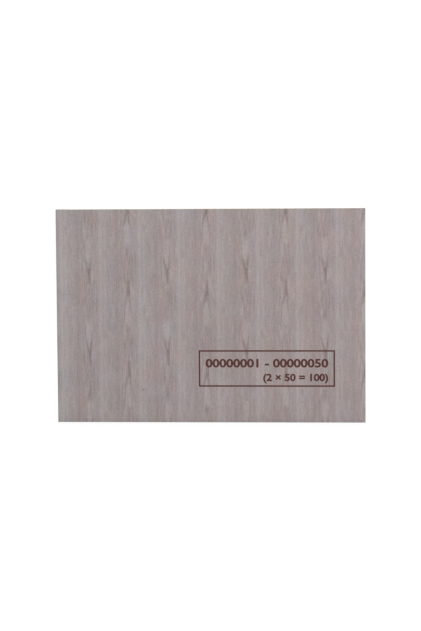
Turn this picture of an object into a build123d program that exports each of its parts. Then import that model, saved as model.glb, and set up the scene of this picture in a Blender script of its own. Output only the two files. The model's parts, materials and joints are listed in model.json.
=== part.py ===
from build123d import *
import os

# A duplicate receipt book, closed and lying on its back cover. All sizes are in millimetres.
# X runs from the spine to the fore edge, Y up the page and Z through the book. The origin is
# under the middle of the book, on the surface that it lies on.

# Book and cover card
book_width = 195.0  # spine to fore edge
book_height = 135.0
card_thickness = 0.35
fold_inside_radius = 0.2  # where the card folds round the spine
hinge_distance = 9.0  # spine to the score line where covers and leaves turn
hinge_slit = 0.1  # card and paper left out along the score line

# Leaves: each set is a white original on top of its tinted copy
set_count = 50
sheet_thickness = 0.07
sheet_air = 0.005  # between a sheet and the next one up
tear_distance = 8.0  # score line to the perforated line of an original
tear_slit = 0.1  # paper left out along the perforated line
single_sets = 5  # sets at the top whose leaves are separate pieces
gather_sets = 5  # sets in each gather below them

# Writing shield, a loose card under the first set
shield_thickness = 0.4
shield_air = 0.05  # above and below the shield
shield_setback = 10.0  # score line to the shield
shield_inset = 2.0  # trimmed edges of the book to the shield

# Binding
spine_glue = 0.25
back_glue = 0.1
glue_corner_radius = 0.3
wire_diameter = 0.4
wire_clearance = 0.05
wire_inside_bend = 0.1
stitch_distance = 4.5  # spine to the middle of the wire
stitch_crown = 13.0  # between the two legs of a stitch
stitch_clinch = 4.5  # length of each bent leg end
stitch_spacing = 70.0  # between the two stitches

# Places worked out from the sizes above
spine_x = -book_width / 2
fore_x = book_width / 2
hinge_x = spine_x + hinge_distance
tear_x = hinge_x + tear_distance
margin_x = spine_x + card_thickness + spine_glue
margin_end_x = hinge_x - hinge_slit / 2
leaf_x = hinge_x + hinge_slit / 2
sheet_pitch = sheet_thickness + sheet_air
shield_room = shield_thickness + 2 * shield_air
margin_bottom = card_thickness + back_glue
margin_top = margin_bottom + 2 * set_count * sheet_pitch
front_inside = margin_top + shield_room
book_thickness = front_inside + card_thickness
wire_room = wire_diameter + 2 * wire_clearance
crown_z = front_inside - wire_room / 2
clinch_z = margin_bottom + wire_room / 2

os.makedirs("parts", exist_ok=True)


def save(piece, name):
    """Label a finished piece and write it to its own file."""
    piece.part.label = name
    export_step(piece.part, f"parts/{name}.step")


def margin_level(sheet):
    """Underside of a bound margin, with the sheets counted from 0 at the top."""
    return margin_top - (sheet + 1) * sheet_pitch


def leaf_level(sheet):
    """Underside of a free leaf. The shield lifts the two leaves of the first set."""
    return margin_level(sheet) + (shield_room if sheet < 2 else 0)


def original_sheet(number):
    """Place in the stack, from the top, of the original in a numbered set."""
    return 2 * (number - 1)


def copy_sheet(number):
    """Place in the stack, from the top, of the copy in a numbered set."""
    return original_sheet(number) + 1


def make_leaves(name, start_x, end_x, levels):
    """A node of flat sheets that all reach from start_x to end_x, one at each level."""
    with BuildPart() as leaves:
        with Locations(*[(start_x, 0, level) for level in levels]):
            Box(end_x - start_x, book_height, sheet_thickness, align=(Align.MIN, Align.CENTER, Align.MIN))
    save(leaves, name)


def make_margins(name, levels):
    """A node of the strips that stay in the binding, pierced and pressed in by the stitches."""
    with BuildPart() as margins:
        with Locations(*[(margin_x, 0, level) for level in levels]):
            Box(margin_end_x - margin_x, book_height, sheet_thickness, align=(Align.MIN, Align.CENTER, Align.MIN))
        add(stitch_room.part, mode=Mode.SUBTRACT)
    save(margins, name)


def make_cover_panel(name, level):
    """A flat panel of the cover card, from the score line to the trimmed edges."""
    with BuildPart() as panel:
        with BuildSketch(Plane.XY.offset(level)):
            with Locations((leaf_x, 0)):
                Rectangle(fore_x - leaf_x, book_height, align=(Align.MIN, Align.CENTER))
        extrude(amount=card_thickness)
    save(panel, name)


def spine_section(start_x, bottom, top, corner_radius=0.0):
    """A section through the binding, from start_x to the score line, rounded at the spine."""
    with BuildSketch(Plane.XZ) as section:
        with Locations((start_x, bottom)):
            Rectangle(margin_end_x - start_x, top - bottom, align=(Align.MIN, Align.MIN))
        if corner_radius:
            fillet(section.vertices().group_by(Axis.X)[0], corner_radius)
    return section.sketch


def stitch_points(middle_y):
    """Corners of one wire stitch: a clinched end, two legs with the crown between, the other end."""
    wire_x = spine_x + stitch_distance
    low_y = middle_y - stitch_crown / 2
    high_y = middle_y + stitch_crown / 2
    return [
        Vector(wire_x, low_y + stitch_clinch, clinch_z),
        Vector(wire_x, low_y, clinch_z),
        Vector(wire_x, low_y, crown_z),
        Vector(wire_x, high_y, crown_z),
        Vector(wire_x, high_y, clinch_z),
        Vector(wire_x, high_y - stitch_clinch, clinch_z),
    ]


stitch_routes = [stitch_points(-stitch_spacing / 2), stitch_points(stitch_spacing / 2)]

# Room that the stitches press into the paper and the glue, not a piece itself
with BuildPart() as stitch_room:
    for route in stitch_routes:
        for start, end in zip(route, route[1:]):
            run = end - start
            with Locations((start + end) / 2):
                Box(abs(run.X) + wire_room, abs(run.Y) + wire_room, abs(run.Z) + wire_room)

# Two wire stitches
with BuildPart() as wire_stitches:
    for route in stitch_routes:
        with BuildLine() as wire_path:
            FilletPolyline(*route, radius=wire_diameter / 2 + wire_inside_bend)
        with BuildSketch(Plane(origin=wire_path.line @ 0, z_dir=wire_path.line % 0)):
            Circle(wire_diameter / 2)
        sweep(path=wire_path.line)
save(wire_stitches, "wire_stitches")

# Margins of all the sheets, held by the stitches
all_sets = range(1, set_count + 1)
make_margins("original_margins", [margin_level(original_sheet(number)) for number in all_sets])
make_margins("copy_margins", [margin_level(copy_sheet(number)) for number in all_sets])

# Glue between the margins and the wrapped card
glue_outside = spine_section(spine_x + card_thickness, card_thickness, front_inside, glue_corner_radius)
glue_inside = spine_section(margin_x, margin_bottom, margin_top)
with BuildPart() as binding_glue:
    extrude(glue_outside, amount=book_height / 2, both=True)
    extrude(glue_inside, amount=book_height / 2, both=True, mode=Mode.SUBTRACT)
    add(stitch_room.part, mode=Mode.SUBTRACT)
save(binding_glue, "binding_glue")

# Cover card wrapped round the spine, up to the score lines
wrap_outside = spine_section(spine_x, 0, book_thickness, fold_inside_radius + card_thickness)
wrap_inside = spine_section(spine_x + card_thickness, card_thickness, front_inside, fold_inside_radius)
with BuildPart() as cover_spine:
    extrude(wrap_outside, amount=book_height / 2, both=True)
    extrude(wrap_inside, amount=book_height / 2, both=True, mode=Mode.SUBTRACT)
save(cover_spine, "cover_spine")

# Cover panels that turn at the score lines
make_cover_panel("cover_front", front_inside)
make_cover_panel("cover_back", 0)

# Writing shield between the first two sets
shield_x = hinge_x + shield_setback
shield_level = leaf_level(copy_sheet(1)) - shield_air - shield_thickness
with BuildPart() as writing_shield:
    with BuildSketch(Plane.XY.offset(shield_level)):
        with Locations((shield_x, 0)):
            Rectangle(
                fore_x - shield_inset - shield_x,
                book_height - 2 * shield_inset,
                align=(Align.MIN, Align.CENTER),
            )
    extrude(amount=shield_thickness)
save(writing_shield, "writing_shield")

# Separate leaves of the top sets: an original's stub and tear-off receipt, and the copy
for number in range(1, single_sets + 1):
    original_level = leaf_level(original_sheet(number))
    make_leaves(f"original_stub_{number:02d}", leaf_x, tear_x - tear_slit / 2, [original_level])
    make_leaves(f"original_{number:02d}", tear_x + tear_slit / 2, fore_x, [original_level])
    make_leaves(f"copy_{number:02d}", leaf_x, fore_x, [leaf_level(copy_sheet(number))])

# Gathers of the sets below, each with its originals and its copies
for first in range(single_sets + 1, set_count + 1, gather_sets):
    last = min(first + gather_sets - 1, set_count)
    gather = range(first, last + 1)
    original_levels = [leaf_level(original_sheet(number)) for number in gather]
    copy_levels = [leaf_level(copy_sheet(number)) for number in gather]
    make_leaves(f"originals_{first:02d}_{last:02d}", leaf_x, fore_x, original_levels)
    make_leaves(f"copies_{first:02d}_{last:02d}", leaf_x, fore_x, copy_levels)
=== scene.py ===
import json
import math
import random

import bmesh
import bpy
from bpy.props import FloatProperty, FloatVectorProperty, IntProperty, PointerProperty, StringProperty
from mathutils import Matrix, Vector


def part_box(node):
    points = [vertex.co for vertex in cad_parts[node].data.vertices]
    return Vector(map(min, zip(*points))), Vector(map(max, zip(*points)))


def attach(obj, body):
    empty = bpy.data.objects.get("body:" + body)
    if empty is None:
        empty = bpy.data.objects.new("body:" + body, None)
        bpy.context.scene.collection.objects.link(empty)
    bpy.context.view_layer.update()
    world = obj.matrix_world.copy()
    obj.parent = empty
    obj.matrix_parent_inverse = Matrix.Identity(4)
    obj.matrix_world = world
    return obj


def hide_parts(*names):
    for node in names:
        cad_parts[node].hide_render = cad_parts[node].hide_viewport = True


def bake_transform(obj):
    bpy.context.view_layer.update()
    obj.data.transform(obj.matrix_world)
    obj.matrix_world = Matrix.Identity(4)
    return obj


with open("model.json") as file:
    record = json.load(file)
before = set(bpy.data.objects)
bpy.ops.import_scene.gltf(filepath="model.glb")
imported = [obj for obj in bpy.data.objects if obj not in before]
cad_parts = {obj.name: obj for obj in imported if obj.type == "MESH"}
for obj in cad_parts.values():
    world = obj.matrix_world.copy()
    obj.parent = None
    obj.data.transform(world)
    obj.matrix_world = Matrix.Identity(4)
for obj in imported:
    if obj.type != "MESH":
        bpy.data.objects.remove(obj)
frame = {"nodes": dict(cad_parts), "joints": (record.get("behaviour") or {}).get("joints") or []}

bl_info = {
    "name": "Duplicate receipt book",
    "version": (1, 0, 0),
    "blender": (4, 5, 0),
    "location": "View3D > Sidebar > Receipt book",
    "description": "Dresses the packed receipt book in printed card, ruled leaves, binding and shield",
    "category": "Add Mesh",
}

MM = 0.001
FULL_TURN = 2 * math.pi
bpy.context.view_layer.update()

# Places read from the frame, in metres
FRONT_LOW, FRONT_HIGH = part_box("cover_front")
BACK_LOW, BACK_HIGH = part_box("cover_back")
STUB_LOW, STUB_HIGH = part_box("original_stub_01")
MARGIN_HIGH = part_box("original_margins")[1]
HINGE_X = next(joint["pos_m"][0] for joint in frame["joints"] if joint["name"] == "front_cover_hinge")
TEAR_X = (STUB_HIGH.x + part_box("original_01")[0].x) / 2
SPINE_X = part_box("cover_spine")[0].x
FORE_X = FRONT_HIGH.x
FOOT_Y = FRONT_LOW.y
HEAD_Y = FRONT_HIGH.y
HEIGHT = HEAD_Y - FOOT_Y
TOP_Z = FRONT_HIGH.z
CARD = FRONT_HIGH.z - FRONT_LOW.z
SHEET = STUB_HIGH.z - STUB_LOW.z
FIRST_SET_LIFT = STUB_HIGH.z - MARGIN_HIGH.z

# Small distances, in metres: what counts as the same place, the ink and the gap under the book
TINY = 0.001 * MM
INK_DEPTH = 0.004 * MM
FLOOR_DROP = 0.02 * MM

# A face looks a way if its normal has more than this share of it
FACING = 0.5

# Segments of a rounded cut edge, of a fold and of a rounded corner
EDGE_STEPS = 2
FOLD_STEPS = 8
CORNER_STEPS = 6

# The first sets lie as single leaves and the others in gathers
SINGLE_SETS = range(1, 6)
GATHER_SETS = 5
GATHERS = range(6, 51, GATHER_SETS)

# Where the seeds of the other sheets start. Those of the stubs and the gathered originals are their numbers
RECEIPT_SEEDS = 100
COPY_SEEDS = 200
GATHERED_COPY_SEEDS = 300

# Flat layout of a leaf, in metres: how far off the form its blank side and its cut edges lie, the reach
# of the cut edges about their place, and the share of colour in their painted shade
BLANK_SHIFT = 1.0
EDGE_SHIFT = 2.0
EDGE_REACH = (0.3, 0.4)
EDGE_SHADE = 0.62

# The printed form, in millimetres from the perforated line and from the foot of the leaf
# Boxes have left, foot, right, head and thickness, and lines left, right, height and thickness
FRAME_BOX = (6, 6, 172, 129, 0.5)
NUMBER_BOX = (10, 112, 48, 124, 0.3)
DATE_BOX = (126, 112, 168, 124, 0.3)
SUM_BOX = (12, 14, 64, 30, 0.5)
WRITING_LINES = [(12, 166, height, 0.25) for height in (98, 86, 74, 62, 50)]
SIGNING_LINE = (102, 166, 16, 0.25)
RULE_SOFTNESS = 0.05

# The perforated line: share of its length that is cut, and the width and softness in millimetres of the
# slits, which are painted in as dark shade
SLIT_SHARE = 0.72
SLIT_WIDTH = 0.22
SLIT_SOFTNESS = 0.04

# Numbers as the text tool makes them, in its own units
NUMBER_DEPTH = 0.1
NUMBER_STEPS = 6
NUMBER_MERGE = 0.001
LARGE_WEIGHT = 0.031
SMALL_WEIGHT = 0.036
SERIAL_WEIGHT = 0.012

# A leaf's serial number: its place from the perforated line and the foot, and its width in heights
SERIAL_LEFT = 14 * MM
SERIAL_FOOT = 115.7 * MM
SERIAL_WIDTH = 5.2

# Marks on the front, in millimetres along and down the print: a rubbed patch and a dark speck
RUB_ALONG, RUB_DOWN = 6.5, 64
SPECK_ALONG, SPECK_DOWN = 54.5, 114.0

# The ramp of grain tones, in levels of 255: where it starts below the middle tone, and its length
RAMP_START = 29.3
RAMP_LENGTH = 43

# The camera, solved from the four corners of the cover in a picture of 421 x 631 pixels
PICTURE_LONG_SIDE = 631
FOCAL_PIXELS = 2150
SENSOR_MM = 36
CLIP_START = 0.01
CAMERA_PLACE = (0.09605, 0.11220, 1.35577)
CAMERA_TURN_DEGREES = (-4.7646, 4.0397, -0.4191)

# The large lamp stands over the head of the book, a little to the fore-edge side
KEY_PLACE = (0.12, 0.42, 0.95)
KEY_SIDE = 0.8
WHITE = (1.0, 1.0, 1.0, 1.0)


def tone(red, green, blue):
    """Linear colour, with alpha, of levels from 0 to 255."""
    shares = [level / 255 for level in (red, green, blue)]
    return (*[c / 12.92 if c <= 0.04045 else ((c + 0.055) / 1.055) ** 2.4 for c in shares], 1.0)


def toned(colour, red, green, blue):
    """A colour with each channel scaled, up to white."""
    return (*[min(1.0, channel * gain) for channel, gain in zip(colour, (red, green, blue))], 1.0)


def shaded(colour, gain):
    """A colour with all channels scaled alike."""
    return toned(colour, gain, gain, gain)


# Sizes and colours

def length(name, description, millimetres):
    """A size that a user may change."""
    return FloatProperty(
        name=name, description=description, default=millimetres * MM, unit="LENGTH", precision=6)


def swatch(name, description, red, green, blue):
    """A colour that a user may change."""
    return FloatVectorProperty(
        name=name, description=description, default=tone(red, green, blue), subtype="COLOR", size=4)


class CoverSizes(bpy.types.PropertyGroup):
    fold_radius: length("Fold radius", "Outside radius where the card folds at the spine", 0.55)
    edge_round: length("Edge round", "Rounding of the card's cut edges", 0.05)
    grain_column: length("Grain column", "Width of one column of the printed grain", 24.87)
    grain_repeat: length("Grain repeat", "Height at which the printed grain repeats", 51.3)
    grain_flip: length("Grain flip", "Drop between a column of grain and its mirrored neighbour", 40.8)


class TitleBoxSizes(bpy.types.PropertyGroup):
    left: length("Left", "Spine to the middle of the box's left rule", 90.4)
    right: length("Right", "Spine to the middle of the box's right rule", 175.4)
    top: length("Top", "Head of the cover to the middle of the top rule", 89.6)
    bottom: length("Bottom", "Head of the cover to the middle of the bottom rule", 111.85)
    rule: length("Rule", "Thickness of the box's rules", 0.95)
    first_text: StringProperty(
        name="First line", description="Bold numbers in the box", default="00000001 - 00000050")
    first_left: length("First line left", "Spine to the first line", 94.3)
    first_right: length("First line right", "Spine to the end of the first line", 171.7)
    first_top: length("First line top", "Head of the cover to the first line", 94.6)
    first_bottom: length("First line bottom", "Head of the cover to the foot of the first line", 100.15)
    second_text: StringProperty(
        name="Second line", description="Smaller numbers in the box", default="(2 \u00d7 50 = 100)")
    second_left: length("Second line left", "Spine to the second line", 130.6)
    second_right: length("Second line right", "Spine to the end of the second line", 171.6)
    second_top: length("Second line top", "Head of the cover to the second line", 104.0)
    second_bottom: length("Second line bottom", "Head of the cover to the foot of the second line", 110.2)


class LeafSizes(bpy.types.PropertyGroup):
    bend: length("Bend", "Length of leaf that bends when it is turned", 7.0)
    bend_steps: IntProperty(name="Bend steps", description="Cuts across the bend", default=9, min=3)
    wander: length("Wander", "How far a sheet's cut edge stays behind the trimmed edge", 0.05)
    tie_pitch: length("Tie pitch", "Distance between the ties of the perforated line", 2.4)
    tie_depth: length("Tie depth", "Depth of the teeth along the perforated line", 0.12)
    tear_gap: length("Tear gap", "Hair's gap between a stub and its receipt", 0.02)
    serial_height: length("Serial height", "Height of a set's printed number", 4.6)
    shield_corner: length("Shield corner", "Corner radius of the writing shield", 2.0)


class BookColours(bpy.types.PropertyGroup):
    grain_dark: swatch("Grain dark", "Darkest brown of the printed grain", 127, 112, 114)
    grain_middle: swatch("Grain middle", "Middle tone of the printed grain", 160, 148, 151)
    grain_light: swatch("Grain light", "Lightest grey of the printed grain", 175, 163, 167)
    grain_pink: swatch("Grain pink", "Pink cast that comes and goes over the grain", 255, 252, 250)
    grain_green: swatch("Grain green", "Greenish cast between the pink ones", 249, 255, 253)
    grain_mellow: swatch("Grain mellow", "Yellow cast that comes and goes over the grain", 255, 255, 246)
    grain_rubbed: swatch("Grain rubbed", "Grey cast where the print is handled most", 245, 255, 254)
    card_core: swatch("Card core", "Cut edge of the cover card", 205, 199, 190)
    card_inside: swatch("Card inside", "Unprinted side of the cover card", 226, 222, 213)
    title_ink: swatch("Title ink", "Rules and numbers on the cover", 73, 31, 21)
    original_paper: swatch("Original paper", "White sheets", 244, 242, 239)
    copy_paper: swatch("Copy paper", "Tinted sheets", 253, 243, 219)
    form_ink: swatch("Form ink", "Rules of the printed form", 84, 98, 132)
    serial_ink: swatch("Serial ink", "Number of a set", 178, 42, 46)
    glue: swatch("Glue", "Binding glue", 226, 212, 178)
    wire: swatch("Wire", "Stitching wire", 196, 198, 200)
    shield_board: swatch("Shield board", "Grey board of the writing shield", 158, 152, 141)
    floor: swatch("Floor", "Studio floor", 111, 111, 111)


class StageLevels(bpy.types.PropertyGroup):
    sky: FloatProperty(name="Sky", description="Strength of the even light from all round", default=0.35)
    key_power: FloatProperty(
        name="Key power", description="Power of the large lamp at the head of the book", default=8.5,
        unit="POWER")
    floor_glow: FloatProperty(
        name="Floor glow", description="Light that the floor gives off itself", default=0.9)
    floor_side: FloatProperty(
        name="Floor side", description="Side of the square floor", default=60.0, unit="LENGTH")


class ReceiptBookSettings(bpy.types.PropertyGroup):
    cover: PointerProperty(type=CoverSizes)
    title: PointerProperty(type=TitleBoxSizes)
    leaf: PointerProperty(type=LeafSizes)
    colours: PointerProperty(type=BookColours)
    stage: PointerProperty(type=StageLevels)


# Finishes

def math_method(operation, reflected=False):
    """A method of a wire that adds a Math node. If it is reflected, the wire comes last."""
    def method(wire, *others):
        values = (*others, wire) if reflected else (wire, *others)
        return wire.finish.node("ShaderNodeMath", {"operation": operation}, dict(enumerate(values)))
    return method


class Wire:
    """One output socket of a finish. Arithmetic on it adds Math nodes."""

    def __init__(self, finish, socket):
        self.finish = finish
        self.socket = socket

    __add__ = math_method("ADD")
    __radd__ = math_method("ADD", reflected=True)
    __sub__ = math_method("SUBTRACT")
    __rsub__ = math_method("SUBTRACT", reflected=True)
    __mul__ = math_method("MULTIPLY")
    __rmul__ = math_method("MULTIPLY", reflected=True)
    __truediv__ = math_method("DIVIDE")
    __mod__ = math_method("FLOORED_MODULO")
    __abs__ = math_method("ABSOLUTE")
    least = math_method("MINIMUM")
    most = math_method("MAXIMUM")
    floor = math_method("FLOOR")
    sine = math_method("SINE")
    cosine = math_method("COSINE")
    tanh = math_method("TANH")
    exponent = math_method("EXPONENT")

    def rise(self, low, high):
        """0 below low, 1 above high and smooth between them."""
        return self.finish.node(
            "ShaderNodeMapRange", {"interpolation_type": "SMOOTHSTEP"},
            {"Value": self, "From Min": low, "From Max": high})

    def bell(self, middle, width):
        """1 at middle, falling off as a bell curve."""
        away = (self - middle) / width
        return (away * away * -1).exponent()

    def within(self, half, soft):
        """1 where the value is nearer to 0 than half, with an edge that is 2 x soft wide."""
        return 1 - (abs(self) - half).rise(-soft, soft)

    def between(self, first, last, fade):
        """1 between two values, with a soft end of the length fade inside each."""
        return self.rise(first, first + fade) * (1 - self.rise(last - fade, last))


class Finish:
    """A node material in the making."""

    def __init__(self, name):
        self.material = bpy.data.materials.new(name)
        self.material.use_nodes = True
        self.tree = self.material.node_tree
        self.tree.nodes.clear()

    def node(self, kind, settings=None, inputs=None, output=0):
        """Adds a node, sets it up, then fills its sockets, and gives back one of its outputs."""
        made = self.tree.nodes.new(kind)
        for key, value in (settings or {}).items():
            if key == "stops":
                set_stops(made.color_ramp, value)
            else:
                setattr(made, key, value)
        for key, value in (inputs or {}).items():
            if isinstance(value, Wire):
                self.tree.links.new(value.socket, made.inputs[key])
            else:
                made.inputs[key].default_value = value
        return Wire(self, made.outputs[output]) if made.outputs else None

    def split(self, vector):
        """The three numbers of a vector."""
        parts = self.node("ShaderNodeSeparateXYZ", inputs={0: vector}).socket.node
        return [Wire(self, socket) for socket in parts.outputs]

    def sheet_place(self, uv_map):
        """Place on a piece's own flat layout, in millimetres."""
        across, up, _ = self.split(self.node("ShaderNodeUVMap", {"uv_map": uv_map}))
        return across / MM, up / MM

    def vector(self, x, y, z):
        return self.node("ShaderNodeCombineXYZ", inputs={0: x, 1: y, 2: z})

    def object_place(self):
        return self.node("ShaderNodeTexCoord", output="Object")

    def noise(self, place, scale, detail=2.0, roughness=0.5):
        """Noise about 0, mostly between -0.5 and 0.5. The place is a vector or its three values."""
        if isinstance(place, tuple):
            place = self.vector(*place)
        inputs = {"Vector": place, "Scale": scale, "Detail": detail, "Roughness": roughness}
        return self.node("ShaderNodeTexNoise", {"noise_dimensions": "3D"}, inputs) - 0.5

    def mix(self, share, first, second, blend="MIX"):
        settings = {"data_type": "RGBA", "blend_type": blend, "clamp_factor": True}
        return self.node("ShaderNodeMix", settings, {0: share, 6: first, 7: second}, output=2)

    def relief(self, height, distance, strength):
        inputs = {"Height": height, "Distance": distance, "Strength": strength}
        return self.node("ShaderNodeBump", inputs=inputs)

    def surface(self, **values):
        """Ends the finish in a Principled shader. Names have _ for a space."""
        inputs = {key.replace("_", " "): value for key, value in values.items()}
        shader = self.node("ShaderNodeBsdfPrincipled", inputs=inputs)
        self.node("ShaderNodeOutputMaterial", inputs={"Surface": shader})
        return self.material


def set_stops(ramp, stops):
    """Gives a colour ramp its stops, each a place and a colour."""
    while len(ramp.elements) < len(stops):
        ramp.elements.new(0.5)
    for element, (place, colour) in zip(ramp.elements, stops):
        element.position = place
        element.color = colour


def streaks(card, across_turn, down_turn, across_count, down_count, seed, detail):
    """Noise on a ring both ways, so that it repeats with the grain. Counts are features in a repeat."""
    across_radius = across_count / FULL_TURN
    down_radius = down_count / FULL_TURN
    place = card.vector(
        across_turn.cosine() * across_radius + seed,
        across_turn.sine() * across_radius,
        down_turn.cosine() * down_radius)
    inputs = {"Vector": place, "W": down_turn.sine() * down_radius, "Scale": 1.0, "Detail": detail}
    return card.node("ShaderNodeTexNoise", {"noise_dimensions": "4D"}, inputs) - 0.5


def grain_figure(across, drop, repeat):
    """The figure of a column of grain: its dark levels, its pale levels and the share of pale wedge.

    Numbers are millimetres across the column and down its repeat, slopes of lines, and levels of 255.
    """
    # A pale wedge between two arms, which close in below the fork and meet in a dark stem
    from_fork = drop - 29.5
    closing = from_fork.most(0)
    left_side = 18.6 + 0.34 * closing
    right_side = 22.45 - 0.12 * (drop - 22).most(0)
    wedge = (across - left_side).rise(-0.5, 0.7) * (right_side - across).rise(-0.5, 0.7)
    wedge = wedge * drop.rise(17, 21.5) * (1 - drop.rise(31.5, 36))
    left_line = 17.55 + 0.045 * (drop - 20) + 0.19 * closing
    left_depth = 4 * drop.between(14, 29, 3) + 14.5 * drop.between(28, 40, 3) * drop.rise(27, 36)
    left_arm = (across - left_line).within(0.42, 0.45) * left_depth
    right_line = 22.2 - 0.08 * from_fork
    right_depth = 17 * drop.between(24, 40, 3) * drop.rise(24, 36)
    right_arm = (across - right_line).within(0.4, 0.45) * right_depth
    stem_half = 1.25 - 0.4 * drop.rise(36.5, 42)
    stem_depth = (20 - 2 * drop.rise(40, 46)) * drop.between(35.3, 48.8, 3)
    stem = (across - 20.9 - 0.07 * drop.rise(37, 41)).within(stem_half, 0.45) * stem_depth

    # Strokes come down either side of the stem above and run together over the wedge
    below = (drop + (repeat - 29.3)) % repeat
    left_stroke_line = 16.5 + 0.07 * below + 1.1 * below.rise(27, 38)
    left_stroke = (across - left_stroke_line).within(0.45, 0.5) * (2.2 + 6.0 * below.rise(15, 21))
    inner_line = 23.0 + (below - 21) * ((below - 21) * 0.0016 - 0.19)
    inner_stroke = (across - inner_line).within(0.45, 0.5) * 6 * below.rise(17, 21)
    outer_stroke = (across - 23.25).within(0.55, 0.5) * 5.5 * below.rise(17, 21)
    strokes = left_stroke.most(inner_stroke).most(outer_stroke)
    strokes = strokes * below.rise(-1, 3) * (1 - below.rise(33, 42))

    # Pale lines beside the strokes and the stem
    left_prong = (across - 17.6 - 0.13 * (drop - 8)).within(0.4, 0.5) * drop.between(8, 21, 3)
    right_prong = (across - 21.9).within(0.35, 0.5) * drop.between(12, 21, 3)
    left_glow = (across - 17.7 - 0.135 * (drop - 34.5)).within(0.45, 0.45) * drop.between(33, 47, 3)
    right_glow = across.bell(23.4, 1.1) * drop.between(30, 47, 4)
    glow = left_prong.most(right_prong).most(left_glow).most(right_glow)
    return stem.most(left_arm).most(right_arm).most(strokes), 6.2 * wedge + 3 * glow, wedge


def grain_levels(card, along, down, sizes):
    """The printed grain: levels of 255 about its middle tone, and its shares of pink and of yellow.

    Numbers are as in grain_figure, and those of the streaks are how many there are in a repeat.
    """
    width = sizes.grain_column / MM
    repeat = sizes.grain_repeat / MM
    column = (along / width).floor()
    flipped = column % 2
    drop = (down * (1 - 2 * flipped) + sizes.grain_flip / MM * flipped) % repeat
    across = along - column * width
    down_turn = drop * (FULL_TURN / repeat)
    dark, pale, wedge = grain_figure(across, drop, repeat)

    # Pale double stripes and dark bands run the whole height
    second_level = 5.4 + 2.4 * drop.between(34, 48, 5) - 4.6 * drop.between(8, 17, 4)
    stripes = 7.8 * (across - 3.2).within(1.05, 0.75) + second_level * (across - 6.2).within(0.8, 0.65)
    stripes = stripes + 2.4 * (across - 4.8).within(0.9, 0.6)
    bands = 5.8 * across.bell(13.6, 1.4) * (1 - 0.35 * drop.between(29, 41, 3)) + 0.3 * across.rise(10, 13)
    bands = bands + 1.8 * across.bell(16.3, 0.75) * drop.between(2, 21, 3)
    bands = bands + 5.0 * across.bell(0.5, 1.0) * drop.between(26, 48, 4)

    # Streaks part round the figure, sway and are strongest there, and are faintest in the pale stripes
    figure = across - 20.5
    parting = 1.7 * drop.rise(8, 21) * (1 - drop.rise(28, 38))
    bent = across - parting * (figure / 0.8).tanh() * figure.bell(0, 4.5)
    figured = across.between(15.5, 24.4, 1.6)
    sway = streaks(card, bent * (FULL_TURN / width), down_turn, 6, 11, 12.9, 1.0)
    bent = bent + figured * sway * 2.4
    across_turn = bent * (FULL_TURN / width)
    blotches = streaks(card, across_turn, down_turn, 12, 10, 3.1, 2.0)
    lines = streaks(card, across_turn, down_turn, 34, 3.5, 7.3, 1.5)
    flecks = card.noise((bent * 1.6 + column * 40, down * 0.1, 5.0), 1.0, 1.0)
    busy = (1 - 0.08 * stripes) * (1 - 0.45 * wedge)
    combed = (lines * 15 * busy + flecks * 33 * (1 - 0.55 * wedge)) * (0.65 + 0.68 * figured)
    levels = stripes - bands + pale - dark + blotches * 17 * busy + combed

    # Pink gathers in the dark bands, at two places of a repeat, green in the wedge and brown in its arms
    gathered = 0.5 + 0.5 * (down_turn * 2 - 5.4).cosine()
    green = across.bell(21.3, 2.4) * drop.between(16, 34, 4)
    pink = 0.14 * across.rise(8.5, 14.5) - 0.18 * across.bell(3.8, 3.6) - 0.26 * green
    pink = pink + 0.25 * across.bell(15.8, 1.8) * gathered + 0.016 * dark
    return levels, pink, 0.012 * dark + 0.05 * green


def wood_grain_print(colours, sizes):
    """Matt card printed with a grey-brown wood grain. Amounts are levels of 255."""
    card = Finish("wood_grain_print")
    along, down = card.sheet_place("print")
    levels, pink, yellow = grain_levels(card, along, down, sizes)
    mottle = card.noise((along * 0.6, down, 0.0), 0.04, 2.0)
    speckle = card.noise((along, down * 0.7, 0.0), 1.0, 1.0)
    levels = levels + mottle * 15 + speckle * 22

    # The rubbed patch near the spine is streaked, and the speck is small and dark
    rub_streaks = card.noise((along * 2.5, down * 0.25, 3.0), 1.0, 1.0).rise(0.0, 0.2)
    rub = along.bell(RUB_ALONG, 1.6) * down.bell(RUB_DOWN, 7) * rub_streaks
    speck = along.bell(SPECK_ALONG, 0.5) * down.bell(SPECK_DOWN, 0.5)
    # Wear along the trimmed edges and folds, with painted light toward the fore edges and painted shade
    # along the foot
    rubbed, paling_and_painted_light, warmth = wear_and_painted_edge_light(card, along, down)
    levels = levels + 7 * rub - 38 * speck + paling_and_painted_light

    stops = [(0.0, colours.grain_dark), (0.7, colours.grain_middle), (1.0, colours.grain_light)]
    shade = (levels + RAMP_START) / RAMP_LENGTH
    colour = card.node("ShaderNodeValToRGB", {"stops": stops}, {"Fac": shade})
    blush = card.noise((along, down * 0.8, 9.0), 0.09, 2.0)
    blush_share = 0.6 + blush * 2.7 + pink + 0.6 * warmth
    tint = card.mix(blush_share, colours.grain_green, colours.grain_pink)
    colour = card.mix(1.0, colour, tint, "MULTIPLY")
    mellow = card.noise((along, down * 0.45, 30.0), 0.12, 2.0)
    colour = card.mix(0.5 + mellow * 2.0 + yellow, colour, colours.grain_mellow, "MULTIPLY")
    colour = card.mix(rubbed, colour, colours.grain_rubbed, "MULTIPLY")
    tooth = card.noise((along, down, 0.0), 6.0, 2.0)
    return card.surface(
        Base_Color=colour, Roughness=0.6 + mottle * 0.2, Specular_IOR_Level=0.35,
        Normal=card.relief(tooth, 0.02 * MM, 0.35))


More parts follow.
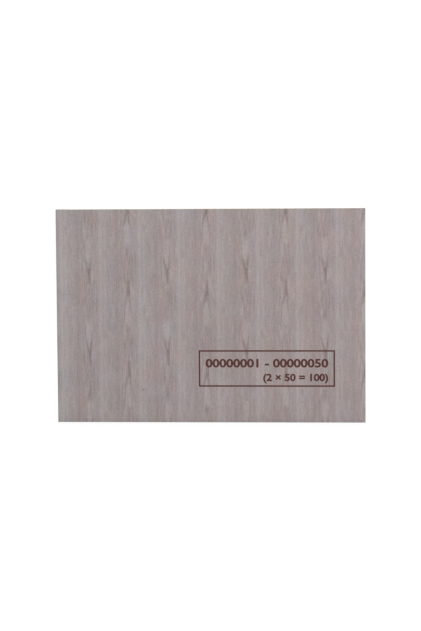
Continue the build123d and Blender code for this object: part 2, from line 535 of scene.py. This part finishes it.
def wear_and_painted_edge_light(card, along, down):
    """Share of grey cast and levels of paling along the trimmed edges and the folds, and warmth. Toward the
    fore edges the paling is partly handling wear and partly painted light, and along the foot the levels
    take off a painted shade.

    Places are in millimetres. Warmth goes from -0.5 at the spine, which has faded to a cooler tone, to 0.5
    at the fore edges.
    """
    half_spine = TOP_Z / 2 / MM
    half_wrap = (FORE_X - SPINE_X) / MM + half_spine
    from_middle = abs(along + half_spine)
    from_foot = HEIGHT / MM - down
    from_trim = (half_wrap - from_middle).least(down.least(from_foot))
    from_fold = abs(from_middle - half_spine)
    folded = 1 - from_fold.rise(0.6, 5.0)
    rubbed = (1 - from_trim.rise(0.3, 3.0)).most(folded)
    uneven = card.noise((along, down, 14.0), 0.2, 3.0)
    fold_wear = card.noise((along * 0.3, down, 21.0), 0.05, 1.0)
    # Paler toward the fore edges, partly from handling wear and partly as painted light, and paler by the
    # folds from wear
    paling_and_painted_light = 5 * from_middle.rise(half_wrap - 18, half_wrap) + 3 * (1 - from_fold.rise(4, 16))
    paling_and_painted_light = paling_and_painted_light + (1.5 + 24 * fold_wear) * folded
    # Painted shade along the foot edge: a thin dark line at the edge and a fainter band above it
    painted_foot_shade = 4.5 * from_foot.bell(1.1, 0.5) + 1.8 * (1 - from_foot.rise(2.5, 7))
    return rubbed * (0.55 + uneven), paling_and_painted_light - painted_foot_shade, from_middle / half_wrap - 0.5


def raw_card(name, colour):
    """Uncoated side or cut edge of the card, with short fibres."""
    card = Finish(name)
    along, down = card.sheet_place("print")
    fibres = card.noise((along * 0.6, down * 2.2, 0.0), 1.3, 4.0, 0.65)
    cloud = card.noise((along, down, 5.0), 0.12, 2.0)
    shade = card.mix(0.45 + fibres * 0.9 + cloud * 0.5, colour, shaded(colour, 0.86))
    return card.surface(
        Base_Color=shade, Roughness=0.82 + cloud * 0.1, Specular_IOR_Level=0.2,
        Normal=card.relief(fibres, 0.02 * MM, 0.4))


def printed_ink(name, colour):
    """Ink that has soaked into the surface unevenly."""
    ink = Finish(name)
    uneven = ink.noise(ink.object_place(), 900, 2.0)
    thin = (*[channel * 1.45 + 0.01 for channel in colour[:3]], 1.0)
    shade = ink.mix(0.3 + uneven * 1.4, colour, thin)
    return ink.surface(Base_Color=shade, Roughness=0.55 + uneven * 0.2, Specular_IOR_Level=0.3)


def box_rule(across, up, left, foot, right, head, width):
    """A ruled box, 1 on its lines. Places and width are in millimetres."""
    beside = abs(across - (left + right) / 2) - (right - left) / 2
    above = abs(up - (foot + head) / 2) - (head - foot) / 2
    return beside.most(above).within(width / 2, RULE_SOFTNESS)


def line_rule(across, up, left, right, height, width):
    """A level ruled line, 1 on the line."""
    span = (across - (left + right) / 2).within((right - left) / 2, RULE_SOFTNESS)
    return span * (up - height).within(width / 2, RULE_SOFTNESS)


def form_rules(across, up):
    """Where the form's rules are printed."""
    rules = line_rule(across, up, *SIGNING_LINE)
    for line in WRITING_LINES:
        rules = rules.most(line_rule(across, up, *line))
    for box in (FRAME_BOX, NUMBER_BOX, DATE_BOX, SUM_BOX):
        rules = rules.most(box_rule(across, up, *box))
    return rules


def edge_tone_and_shade(paper, along, height):
    """Share of painted shade on a cut edge: shade between the sheets, with a tone that changes from sheet
    to sheet. Places are in millimetres.
    """
    return 0.28 + paper.noise((along * 0.02, height * 1.6, 0.0), 1.0, 3.0, 0.65) * 2.2


def ruled_paper(name, paper_colour, ink_colour, tie_pitch=None):
    """Carbonless paper with the form printed on it, and where tie_pitch is given a perforated line whose
    slits are painted in as dark shade.
    """
    paper = Finish(name)
    across, up = paper.sheet_place("page")
    place = paper.vector(across, up, 0.0)
    cloud = paper.noise(place, 0.35, 3.0, 0.6)
    fibres = paper.noise(place, 3.0, 2.0)
    colour = paper.mix(0.35 + cloud * 0.8 + fibres * 0.3, paper_colour, shaded(paper_colour, 0.93))
    # Cut edges are darkened with painted shade between the sheets, with a tone that changes from sheet to
    # sheet
    at_edge = 1 - (across * MM + EDGE_SHIFT).rise(*EDGE_REACH)
    lines = at_edge * edge_tone_and_shade(paper, across, up)
    colour = paper.mix(lines, colour, shaded(paper_colour, EDGE_SHADE))
    print_share = form_rules(across, up) * (0.85 + fibres * 0.5)
    colour = paper.mix(print_share, colour, ink_colour)
    if tie_pitch:
        # The slits are painted dark, as the shade inside the cuts
        cut = ((up % tie_pitch) - tie_pitch / 2).within(tie_pitch * SLIT_SHARE / 2, RULE_SOFTNESS)
        painted_slit_shade = across.within(SLIT_WIDTH / 2, SLIT_SOFTNESS) * cut
        colour = paper.mix(painted_slit_shade, colour, shaded(paper_colour, 0.45))
    return paper.surface(
        Base_Color=colour, Roughness=0.72 + cloud * 0.15, Specular_IOR_Level=0.25,
        Normal=paper.relief(fibres, 0.006 * MM, 0.5))


def bound_paper(name, paper_colour):
    """The same paper where it is held in the binding, seen by its edges."""
    paper = Finish(name)
    place = paper.object_place()
    cloud = paper.noise(place, 350, 3.0, 0.6)
    colour = paper.mix(0.4 + cloud * 0.9, paper_colour, shaded(paper_colour, 0.9))
    # The cut edges get the same painted shade between the sheets as the leaves
    x, y, z = paper.split(place)
    lines = edge_tone_and_shade(paper, (x + y - EDGE_SHIFT) / MM, z / MM)
    colour = paper.mix(lines, colour, shaded(paper_colour, EDGE_SHADE))
    return paper.surface(Base_Color=colour, Roughness=0.75 + cloud * 0.15, Specular_IOR_Level=0.25)


def binding_glue_finish(colour):
    """Cream hot-melt glue, a little waxy and uneven."""
    glue = Finish("hot_melt_glue")
    place = glue.object_place()
    lumps = glue.noise(place, 420, 3.0)
    shade = glue.mix(0.4 + lumps * 1.2, colour, toned(colour, 0.8, 0.74, 0.62))
    return glue.surface(
        Base_Color=shade, Roughness=0.38 + lumps * 0.2, Normal=glue.relief(lumps, 0.05 * MM, 0.5))


def stitch_wire_finish(colour):
    """Drawn steel wire with fine draw lines and a slight dulling."""
    wire = Finish("drawn_steel")
    x, y, z = wire.split(wire.object_place())
    lines = wire.noise((x * 9000, y * 400, z * 9000), 1.0, 2.0)
    shade = wire.mix(0.35 + lines * 1.2, colour, toned(colour, 0.7, 0.69, 0.67))
    return wire.surface(Base_Color=shade, Metallic=1.0, Roughness=0.32 + lines * 0.25)


def grey_board_finish(colour):
    """Recycled grey board with light and dark fibres."""
    board = Finish("grey_board")
    place = board.object_place()
    fibres = board.noise(place, 1400, 4.0, 0.7)
    flecks = board.noise(place, 700, 1.0).rise(0.16, 0.22)
    shade = board.mix(0.4 + fibres * 1.1, colour, shaded(colour, 1.25))
    shade = board.mix(flecks * 0.5, shade, shaded(colour, 0.45))
    return board.surface(
        Base_Color=shade, Roughness=0.85 + fibres * 0.1, Specular_IOR_Level=0.2,
        Normal=board.relief(fibres, 0.03 * MM, 0.5))


def studio_floor_finish(colour, glow):
    """Pale floor that gives off some light itself, so that shadows on it stay faint."""
    floor = Finish("studio_floor")
    return floor.surface(
        Base_Color=colour, Roughness=0.9, Specular_IOR_Level=0.0,
        Emission_Color=WHITE, Emission_Strength=glow)


# Modelling helpers

def add_slab(bm, low, high):
    """A closed slab between two corners."""
    middle = (Vector(low) + Vector(high)) / 2
    size = Vector(high) - Vector(low)
    place = Matrix.Translation(middle) @ Matrix.Diagonal((*size, 1.0))
    bmesh.ops.create_cube(bm, size=1.0, matrix=place)


def cut_for_bend(bm, sizes):
    """Cuts everything across X at even steps, so that it can bend there."""
    for step in range(sizes.bend_steps + 1):
        x = HINGE_X + sizes.bend * step / sizes.bend_steps
        geometry = bm.verts[:] + bm.edges[:] + bm.faces[:]
        bmesh.ops.bisect_plane(bm, geom=geometry, plane_co=(x, 0, 0), plane_no=(1, 0, 0))


def edges_at(bm, x):
    """Edges that run along Y at a place in X."""
    return [edge for edge in bm.edges
            if all(abs(vert.co.x - x) < TINY for vert in edge.verts)
            and abs(edge.verts[0].co.y - edge.verts[1].co.y) > TINY]


def round_edges(bm, edges, radius, segments):
    bmesh.ops.bevel(
        bm, geom=edges, offset=radius, affect="EDGES", segments=segments, profile=0.5, material=-1)


def tear_teeth(bm, x, direction, sizes):
    """Teeth of torn ties along a sheet's end at x."""
    ties = round(HEIGHT / sizes.tie_pitch)
    bmesh.ops.subdivide_edges(bm, edges=edges_at(bm, x), cuts=2 * ties - 1, use_grid_fill=True)
    step = HEIGHT / (2 * ties)
    for vert in bm.verts:
        at_end = abs(vert.co.x - x) < TINY
        if at_end and round((vert.co.y - FOOT_Y) / step) % 2:
            vert.co.x += direction * sizes.tie_depth


def shade_smooth(bm, sharpest=math.radians(30)):
    """Smooth shading that keeps real edges sharp."""
    bm.normal_update()
    for face in bm.faces:
        face.smooth = True
    for edge in bm.edges:
        edge.smooth = edge.calc_face_angle(0.0) < sharpest


def lay_flat(bm, uv_map, place):
    """Gives each corner of each face the flat place that place(face, point) works out."""
    layer = bm.loops.layers.uv.new(uv_map)
    for face in bm.faces:
        for loop in face.loops:
            loop[layer].uv = place(face, loop.vert.co)


def make_object(name, bm, finishes):
    """Turns a finished bmesh into an object of the scene."""
    mesh = bpy.data.meshes.new(name)
    bm.to_mesh(mesh)
    bm.free()
    for finish in finishes:
        mesh.materials.append(finish)
    made = bpy.data.objects.new(name, mesh)
    bpy.context.scene.collection.objects.link(made)
    return made


def make_piece(name, bm, finishes):
    """The same for a piece of the book."""
    piece = make_object(name, bm, finishes)
    return piece


def number_mesh(text, weight):
    """Flat numbers as a bmesh, as they come from the text tool. Weight thickens the strokes."""
    curve = bpy.data.curves.new("number_text", "FONT")
    curve.body = text
    curve.offset = weight
    curve.extrude = NUMBER_DEPTH
    curve.resolution_u = NUMBER_STEPS
    carrier = bpy.data.objects.new("number_text", curve)
    bpy.context.scene.collection.objects.link(carrier)
    bpy.context.view_layer.update()
    evaluated = carrier.evaluated_get(bpy.context.evaluated_depsgraph_get())
    mesh = bpy.data.meshes.new_from_object(evaluated)
    bm = bmesh.new()
    bm.from_mesh(mesh)
    bpy.data.objects.remove(carrier)
    bpy.data.curves.remove(curve)
    bpy.data.meshes.remove(mesh)
    bmesh.ops.remove_doubles(bm, verts=bm.verts[:], dist=NUMBER_MERGE)
    bmesh.ops.recalc_face_normals(bm, faces=bm.faces[:])
    return bm


def fit_between(bm, low, high):
    """Scales and moves a bmesh so that it fills the box between two corners."""
    low = Vector(low)
    high = Vector(high)
    columns = list(zip(*[vert.co for vert in bm.verts]))
    old_low = Vector([min(column) for column in columns])
    old_high = Vector([max(column) for column in columns])
    scale = Vector([(high[axis] - low[axis]) / (old_high[axis] - old_low[axis]) for axis in range(3)])
    bmesh.ops.translate(bm, vec=-old_low, verts=bm.verts[:])
    bmesh.ops.scale(bm, vec=scale, verts=bm.verts[:])
    bmesh.ops.translate(bm, vec=low, verts=bm.verts[:])


# Cover

# Places on the flat printed sheet, along from the spine's front edge and down from the head

def front_print_place(face, point):
    return point.x - SPINE_X, HEAD_Y - point.y


def spine_print_place(face, point):
    side = 1 if point.z > TOP_Z / 2 else -1
    return side * (point.x - SPINE_X) - (TOP_Z - point.z), HEAD_Y - point.y


def back_print_place(face, point):
    return -TOP_Z - (point.x - SPINE_X), HEAD_Y - point.y


PRINTED, CUT_EDGE, UNPRINTED = range(3)


def card_side(normal, outward):
    """Which finish a face of the card has, from how far it faces the outside of the book."""
    facing = normal.dot(outward)
    if facing > FACING:
        return PRINTED
    return UNPRINTED if facing < -FACING else CUT_EDGE


def cover_panel(name, low, high, outward, print_place, finishes, sizes):
    """A flat panel of the cover, rounded at its cut edges and square where it meets the spine piece."""
    bm = bmesh.new()
    add_slab(bm, (HINGE_X, low.y, low.z), high)
    cut = [edge for edge in bm.edges if max(vert.co.x for vert in edge.verts) > HINGE_X + MM]
    round_edges(bm, cut, sizes.edge_round, EDGE_STEPS)
    bm.normal_update()
    for face in bm.faces:
        face.material_index = card_side(face.normal, outward)
    lay_flat(bm, "print", print_place)
    return make_piece(name, bm, finishes)


def spine_wrap(finishes, sizes):
    """The card folded round the spine, from score line to score line."""
    bm = bmesh.new()
    corners = [(HINGE_X, TOP_Z), (SPINE_X, TOP_Z), (SPINE_X, 0.0), (HINGE_X, 0.0)]
    verts = [bm.verts.new((x, FOOT_Y, z)) for x, z in corners]
    edges = [bm.edges.new(pair) for pair in zip(verts, verts[1:])]
    grown = bmesh.ops.extrude_edge_only(bm, edges=edges)["geom"]
    far = [item for item in grown if isinstance(item, bmesh.types.BMVert)]
    bmesh.ops.translate(bm, vec=(0, HEIGHT, 0), verts=far)
    round_edges(bm, edges_at(bm, SPINE_X), sizes.fold_radius, FOLD_STEPS)
    bmesh.ops.recalc_face_normals(bm, faces=bm.faces[:])
    spine_face = min(bm.faces, key=lambda face: face.calc_center_median().x)
    if spine_face.normal.x > 0:
        bmesh.ops.reverse_faces(bm, faces=bm.faces[:])
    outer = bm.faces[:]
    bmesh.ops.solidify(bm, geom=outer, thickness=CARD)
    bm.normal_update()
    for face in bm.faces:
        at_score = face.normal.x > FACING and face.calc_center_median().x > HINGE_X - CARD / 2
        if at_score or abs(face.normal.y) > FACING:
            face.material_index = CUT_EDGE
        else:
            face.material_index = PRINTED if face in outer else UNPRINTED
    shade_smooth(bm)
    lay_flat(bm, "print", spine_print_place)
    return make_piece("spine_wrap", bm, finishes)


class RECEIPTBOOK_OT_cover(bpy.types.Operator):
    """Folds the printed card cover round the book"""
    bl_idname = "receiptbook.cover"
    bl_label = "Card cover"

    def execute(self, context):
        settings = context.scene.receipt_book
        sizes = settings.cover
        colours = settings.colours
        finishes = [
            wood_grain_print(colours, sizes),
            raw_card("card_cut_edge", colours.card_core),
            raw_card("card_unprinted_side", colours.card_inside),
        ]
        up = Vector((0, 0, 1))
        front = cover_panel("front_panel", FRONT_LOW, FRONT_HIGH, up, front_print_place, finishes, sizes)
        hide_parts("cover_front")
        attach(front, "front_cover")
        back = cover_panel("back_panel", BACK_LOW, BACK_HIGH, -up, back_print_place, finishes, sizes)
        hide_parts("cover_back")
        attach(back, "back_cover")
        spine = spine_wrap(finishes, sizes)
        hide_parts("cover_spine")
        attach(spine, "spine_block")
        return {"FINISHED"}


class RECEIPTBOOK_OT_title_box(bpy.types.Operator):
    """Prints the ruled box and its numbers on the front cover"""
    bl_idname = "receiptbook.title_box"
    bl_label = "Title box"

    def execute(self, context):
        settings = context.scene.receipt_book
        sizes = settings.title
        ink = printed_ink("title_ink", settings.colours.title_ink)
        self.add_rules(sizes, ink)
        self.add_numbers(
            "title_numbers_large", sizes.first_text, LARGE_WEIGHT, ink,
            sizes.first_left, sizes.first_right, sizes.first_top, sizes.first_bottom)
        self.add_numbers(
            "title_numbers_small", sizes.second_text, SMALL_WEIGHT, ink,
            sizes.second_left, sizes.second_right, sizes.second_top, sizes.second_bottom)
        return {"FINISHED"}

    def add_rules(self, sizes, ink):
        """The box's four rules as one ring of ink."""
        half = sizes.rule / 2
        low = Vector((SPINE_X + sizes.left - half, HEAD_Y - sizes.bottom - half, TOP_Z))
        high = Vector((SPINE_X + sizes.right + half, HEAD_Y - sizes.top + half, TOP_Z))
        size = high - low
        place = Matrix.Translation((low + high) / 2) @ Matrix.Diagonal((size.x, size.y, 1.0, 1.0))
        bm = bmesh.new()
        bmesh.ops.create_grid(bm, x_segments=1, y_segments=1, size=0.5, matrix=place)
        inner = bm.faces[:]
        bmesh.ops.inset_region(
            bm, faces=inner, thickness=sizes.rule, use_boundary=True, use_even_offset=True)
        bmesh.ops.delete(bm, geom=inner, context="FACES")
        ring = bmesh.ops.extrude_face_region(bm, geom=bm.faces[:])["geom"]
        raised = [item for item in ring if isinstance(item, bmesh.types.BMVert)]
        bmesh.ops.translate(bm, vec=(0, 0, INK_DEPTH), verts=raised)
        bmesh.ops.recalc_face_normals(bm, faces=bm.faces[:])
        rules = make_piece("title_box_rules", bm, [ink])
        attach(rules, "front_cover")

    def add_numbers(self, name, text, weight, ink, left, right, top, bottom):
        """A line of numbers that fills its place, which is given from the spine and the head."""
        bm = number_mesh(text, weight)
        low = (SPINE_X + left, HEAD_Y - bottom, TOP_Z)
        high = (SPINE_X + right, HEAD_Y - top, TOP_Z + INK_DEPTH)
        fit_between(bm, low, high)
        numbers = make_piece(name, bm, [ink])
        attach(numbers, "front_cover")


class RECEIPTBOOK_OT_binding(bpy.types.Operator):
    """Finishes the glue, the wire stitches and the bound margins of the sheets"""
    bl_idname = "receiptbook.binding"
    bl_label = "Binding"

    def execute(self, context):
        colours = context.scene.receipt_book.colours
        finishes = {
            "binding_glue": binding_glue_finish(colours.glue),
            "wire_stitches": stitch_wire_finish(colours.wire),
            "original_margins": bound_paper("bound_originals", colours.original_paper),
            "copy_margins": bound_paper("bound_copies", colours.copy_paper),
        }
        for node, finish in finishes.items():
            mesh = frame["nodes"][node].data
            mesh.materials.clear()
            mesh.materials.append(finish)
        return {"FINISHED"}


# Leaves

def page_place(face, point):
    """Flat place on a leaf. Undersides lie off the printed form, and cut edges further off."""
    if abs(face.normal.z) < FACING:
        return point.x + point.y - EDGE_SHIFT, point.z
    shift = 0.0 if face.normal.z > FACING else BLANK_SHIFT
    return point.x - TEAR_X - shift, point.y - FOOT_Y


def add_sheet(bm, start_x, end_x, bottom, rng, wander):
    """One sheet, with its trimmed edges a little behind the book's."""
    trimmed = end_x - rng.uniform(0, wander) if end_x > TEAR_X + MM else end_x
    foot = FOOT_Y + rng.uniform(0, wander)
    head = HEAD_Y - rng.uniform(0, wander)
    add_slab(bm, (start_x, foot, bottom), (trimmed, head, bottom + SHEET))


def settle_on_margin(bm, sizes):
    """Brings a lifted leaf down to its own margin at the binding, in a soft step."""
    for vert in bm.verts:
        share = min(1.0, max(0.0, (vert.co.x - HINGE_X) / sizes.bend))
        vert.co.z -= FIRST_SET_LIFT * (1 - share * share * (3 - 2 * share))


def bound_leaf(name, node, bottoms, end_x, finish, seed, sizes, lifted=False, torn=False):
    """Sheets cut across at the binding so that they can bend there."""
    rng = random.Random(seed)
    bm = bmesh.new()
    for bottom in bottoms:
        add_sheet(bm, MARGIN_HIGH.x, end_x, bottom, rng, sizes.wander)
    cut_for_bend(bm, sizes)
    if torn:
        tear_teeth(bm, end_x, -1, sizes)
    if lifted:
        settle_on_margin(bm, sizes)
    shade_smooth(bm)
    lay_flat(bm, "page", page_place)
    leaf = make_piece(name, bm, [finish])
    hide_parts(node)
    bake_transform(leaf)


def serial_number(name, number, body, top, ink, sizes):
    """A set's number, printed in the form's number box."""
    bm = number_mesh(f"{number:06d}", SERIAL_WEIGHT)
    left = TEAR_X + SERIAL_LEFT
    right = left + sizes.serial_height * SERIAL_WIDTH
    foot = FOOT_Y + SERIAL_FOOT
    fit_between(bm, (left, foot, top), (right, foot + sizes.serial_height, top + INK_DEPTH))
    serial = make_piece(name, bm, [ink])
    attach(serial, body)


def leaf_finishes(context):
    """The printed papers and the serial ink, made once and then shared."""
    colours = context.scene.receipt_book.colours
    sizes = context.scene.receipt_book.leaf
    made = bpy.data.materials
    if "white_form_paper" not in made:
        ruled_paper("white_form_paper", colours.original_paper, colours.form_ink, sizes.tie_pitch / MM)
        ruled_paper("tinted_form_paper", colours.copy_paper, colours.form_ink)
        printed_ink("serial_ink", colours.serial_ink)
    return made["white_form_paper"], made["tinted_form_paper"], made["serial_ink"]


class RECEIPTBOOK_OT_originals(bpy.types.Operator):
    """Lays the white originals of the first sets, each a stub and its tear-off receipt"""
    bl_idname = "receiptbook.originals"
    bl_label = "Originals"

    def execute(self, context):
        sizes = context.scene.receipt_book.leaf
        white, _, serial_ink = leaf_finishes(context)
        for number in SINGLE_SETS:
            node = f"original_stub_{number:02d}"
            low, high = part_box(node)
            end_x = TEAR_X - sizes.tear_gap / 2
            bound_leaf(f"stub_leaf_{number:02d}", node, [low.z], end_x, white,
                       number, sizes, lifted=number == 1, torn=True)
            self.add_receipt(number, white, sizes)
            serial_number(f"original_serial_{number:02d}", number, f"receipt_{number:02d}", high.z,
                          serial_ink, sizes)
        return {"FINISHED"}

    def add_receipt(self, number, finish, sizes):
        """The part of an original that tears off."""
        node = f"original_{number:02d}"
        low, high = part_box(node)
        start_x = TEAR_X + sizes.tear_gap / 2
        bm = bmesh.new()
        add_sheet(bm, start_x, high.x, low.z, random.Random(RECEIPT_SEEDS + number), sizes.wander)
        tear_teeth(bm, start_x, 1, sizes)
        bm.normal_update()
        lay_flat(bm, "page", page_place)
        receipt = make_piece(f"receipt_{number:02d}", bm, [finish])
        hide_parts(node)
        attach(receipt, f"receipt_{number:02d}")


class RECEIPTBOOK_OT_copies(bpy.types.Operator):
    """Lays the tinted copies of the first sets"""
    bl_idname = "receiptbook.copies"
    bl_label = "Copies"

    def execute(self, context):
        sizes = context.scene.receipt_book.leaf
        _, tinted, serial_ink = leaf_finishes(context)
        for number in SINGLE_SETS:
            node = f"copy_{number:02d}"
            leaf = f"copy_leaf_{number:02d}"
            low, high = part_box(node)
            bound_leaf(leaf, node, [low.z], high.x, tinted, COPY_SEEDS + number, sizes,
                       lifted=number == 1)
            serial_number(f"copy_serial_{number:02d}", number, leaf, high.z, serial_ink,
                          sizes)
        return {"FINISHED"}


class RECEIPTBOOK_OT_gathers(bpy.types.Operator):
    """Lays the remaining sets in gathers"""
    bl_idname = "receiptbook.gathers"
    bl_label = "Gathers"

    def execute(self, context):
        sizes = context.scene.receipt_book.leaf
        white, tinted, serial_ink = leaf_finishes(context)
        for first in GATHERS:
            span = f"{first:02d}_{first + GATHER_SETS - 1:02d}"
            body = f"gather_{span}"
            self.add_sheets("originals", span, body, white, "original_paper", first, sizes)
            self.add_sheets("copies", span, body, tinted, "copy_paper", GATHERED_COPY_SEEDS + first, sizes)
            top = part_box(f"originals_{span}")[1].z
            serial_number(f"original_serial_{first:02d}", first, body, top, serial_ink,
                          sizes)
        return {"FINISHED"}

    def add_sheets(self, kind, span, body, finish, slot, seed, sizes):
        """The originals or the copies of one gather."""
        node = f"{kind}_{span}"
        low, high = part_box(node)
        pitch = (high.z - SHEET - low.z) / (GATHER_SETS - 1)
        bottoms = [low.z + pitch * sheet for sheet in range(GATHER_SETS)]
        bound_leaf(f"gather_{kind}_{span}", node, bottoms, high.x, finish, seed, sizes)


class RECEIPTBOOK_OT_shield(bpy.types.Operator):
    """Slips the grey writing shield under the first set"""
    bl_idname = "receiptbook.shield"
    bl_label = "Writing shield"

    def execute(self, context):
        settings = context.scene.receipt_book
        low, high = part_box("writing_shield")
        bm = bmesh.new()
        add_slab(bm, low, high)
        corners = [edge for edge in bm.edges if self.upright(edge)]
        round_edges(bm, corners, settings.leaf.shield_corner, CORNER_STEPS)
        rims = [edge for edge in bm.edges if not self.upright(edge)]
        round_edges(bm, rims, settings.cover.edge_round, EDGE_STEPS)
        shade_smooth(bm)
        finish = grey_board_finish(settings.colours.shield_board)
        shield = make_piece("shield_card", bm, [finish])
        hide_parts("writing_shield")
        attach(shield, "shield")
        return {"FINISHED"}

    def upright(self, edge):
        return abs(edge.verts[0].co.z - edge.verts[1].co.z) > CARD / 2


# Stage

class RECEIPTBOOK_OT_stage(bpy.types.Operator):
    """Sets up the floor, the lights and the camera"""
    bl_idname = "receiptbook.stage"
    bl_label = "Studio"

    def execute(self, context):
        settings = context.scene.receipt_book
        self.add_floor(settings)
        self.add_lights(context, settings.stage)
        self.add_camera(context)
        context.scene.view_settings.view_transform = "Standard"
        return {"FINISHED"}

    def add_floor(self, settings):
        bm = bmesh.new()
        bmesh.ops.create_grid(bm, x_segments=1, y_segments=1, size=settings.stage.floor_side / 2,
                              matrix=Matrix.Translation((0, 0, -FLOOR_DROP)))
        finish = studio_floor_finish(settings.colours.floor, settings.stage.floor_glow)
        floor = make_object("studio_floor", bm, [finish])

    def add_lights(self, context, levels):
        world = bpy.data.worlds.new("studio_sky")
        world.use_nodes = True
        sky = world.node_tree.nodes["Background"]
        sky.inputs["Color"].default_value = WHITE
        sky.inputs["Strength"].default_value = levels.sky
        context.scene.world = world
        lamp = bpy.data.lights.new("key_lamp", "AREA")
        lamp.shape = "SQUARE"
        lamp.size = KEY_SIDE
        lamp.energy = levels.key_power
        key = bpy.data.objects.new("key_lamp", lamp)
        key.location = KEY_PLACE
        key.rotation_euler = (-key.location).to_track_quat("-Z", "Y").to_euler()
        key.visible_camera = False
        context.scene.collection.objects.link(key)

    def add_camera(self, context):
        data = bpy.data.cameras.new("photo_camera")
        data.sensor_fit = "AUTO"
        data.sensor_width = SENSOR_MM
        data.lens = SENSOR_MM * FOCAL_PIXELS / PICTURE_LONG_SIDE
        data.clip_start = CLIP_START
        camera = bpy.data.objects.new("photo_camera", data)
        camera.location = CAMERA_PLACE
        camera.rotation_euler = [math.radians(angle) for angle in CAMERA_TURN_DEGREES]
        context.scene.collection.objects.link(camera)
        context.scene.camera = camera


# Panel and registration

BOOK_OPERATORS = (
    RECEIPTBOOK_OT_cover,
    RECEIPTBOOK_OT_title_box,
    RECEIPTBOOK_OT_binding,
    RECEIPTBOOK_OT_originals,
    RECEIPTBOOK_OT_copies,
    RECEIPTBOOK_OT_gathers,
    RECEIPTBOOK_OT_shield,
    RECEIPTBOOK_OT_stage,
)


class RECEIPTBOOK_PT_pieces(bpy.types.Panel):
    """Lists the pieces of the receipt book"""
    bl_idname = "RECEIPTBOOK_PT_pieces"
    bl_label = "Receipt book"
    bl_space_type = "VIEW_3D"
    bl_region_type = "UI"
    bl_category = "Receipt book"

    def draw(self, context):
        settings = context.scene.receipt_book
        for operator in BOOK_OPERATORS:
            self.layout.operator(operator.bl_idname)
        for group in (settings.cover, settings.title, settings.leaf, settings.colours, settings.stage):
            box = self.layout.box()
            for key in group.bl_rna.properties.keys():
                if key not in ("rna_type", "name"):
                    box.prop(group, key)


CLASSES = (
    CoverSizes, TitleBoxSizes, LeafSizes, BookColours, StageLevels, ReceiptBookSettings,
    *BOOK_OPERATORS, RECEIPTBOOK_PT_pieces,
)


def register():
    for entry in CLASSES:
        bpy.utils.register_class(entry)
    bpy.types.Scene.receipt_book = PointerProperty(type=ReceiptBookSettings)


def unregister():
    del bpy.types.Scene.receipt_book
    for entry in reversed(CLASSES):
        bpy.utils.unregister_class(entry)


def main():
    register()
    bpy.ops.receiptbook.cover()
    bpy.ops.receiptbook.title_box()
    bpy.ops.receiptbook.binding()
    bpy.ops.receiptbook.originals()
    bpy.ops.receiptbook.copies()
    bpy.ops.receiptbook.gathers()
    bpy.ops.receiptbook.shield()
    bpy.ops.receiptbook.stage()


if __name__ == "__main__":
    main()
